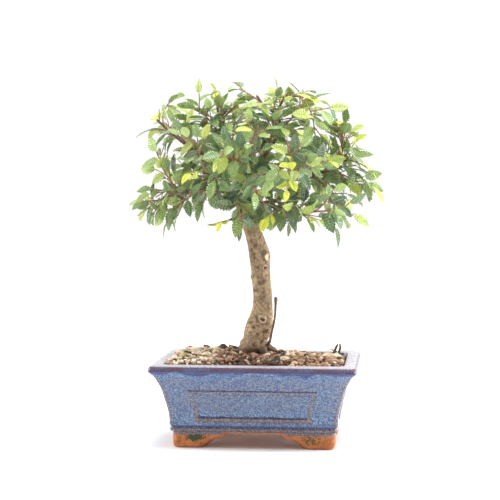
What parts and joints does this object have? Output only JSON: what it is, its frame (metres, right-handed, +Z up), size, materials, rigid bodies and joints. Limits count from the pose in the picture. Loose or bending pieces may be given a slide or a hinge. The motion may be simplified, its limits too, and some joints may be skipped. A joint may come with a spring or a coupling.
{
  "type": "potted bonsai tree",
  "caption": "Chinese elm bonsai with a curved trunk and a rounded crown of small toothed leaves, planted in a mounded bed of gravel in a glazed rectangular pot on bracket feet.",
  "frame": {"origin": "bottom centre of the whole plant's bounding box, on the plane the pot's feet stand on", "axes": "+Z up, +X to the right along the pot's long side as seen from the front, -Y towards the viewer"},
  "size_m": [0.2426, 0.1736, 0.3597],
  "materials": {
    "pot_glaze": "glossy mottled blue glaze that breaks to brown on edges and ridges, with bare brown clay under the feet",
    "gravel": "rough matt gravel and crumbly soil",
    "bark": "rough grey-tan bark",
    "drain_mesh": "matt black plastic mesh",
    "green_leaf": "satin dark green leaf",
    "lime_leaf": "satin yellow-green young leaf"
  },
  "bodies": {
    "root": {"pot": "pot_glaze", "soil": "gravel", "trunk": "bark", "drain_screen_left": "drain_mesh", "drain_screen_right": "drain_mesh", "spray_01": "green_leaf", "spray_02": "green_leaf", "spray_03": "green_leaf", "spray_04": "green_leaf", "spray_05": "green_leaf", "spray_06": "green_leaf", "spray_07": "green_leaf", "spray_08": "green_leaf", "spray_09": "green_leaf", "spray_10": "green_leaf", "spray_11": "green_leaf", "spray_12": "green_leaf", "spray_13": "green_leaf", "spray_14": "green_leaf", "spray_15": "green_leaf", "spray_16": "green_leaf", "spray_17": "green_leaf", "spray_18": "green_leaf", "spray_19": "green_leaf", "spray_20": "green_leaf", "spray_21": "green_leaf", "spray_22": "green_leaf", "spray_23": "green_leaf", "spray_24": "green_leaf", "spray_25": "green_leaf", "spray_26": "green_leaf", "spray_27": "green_leaf", "spray_28": "green_leaf", "spray_29": "green_leaf", "shoot_01": "lime_leaf", "shoot_02": "lime_leaf", "shoot_03": "lime_leaf", "shoot_04": "lime_leaf", "shoot_05": "lime_leaf", "shoot_06": "lime_leaf", "shoot_07": "lime_leaf", "shoot_08": "lime_leaf", "shoot_09": "lime_leaf", "shoot_10": "lime_leaf", "shoot_11": "lime_leaf", "shoot_12": "lime_leaf", "shoot_13": "lime_leaf"}
  },
  "joints": []
}
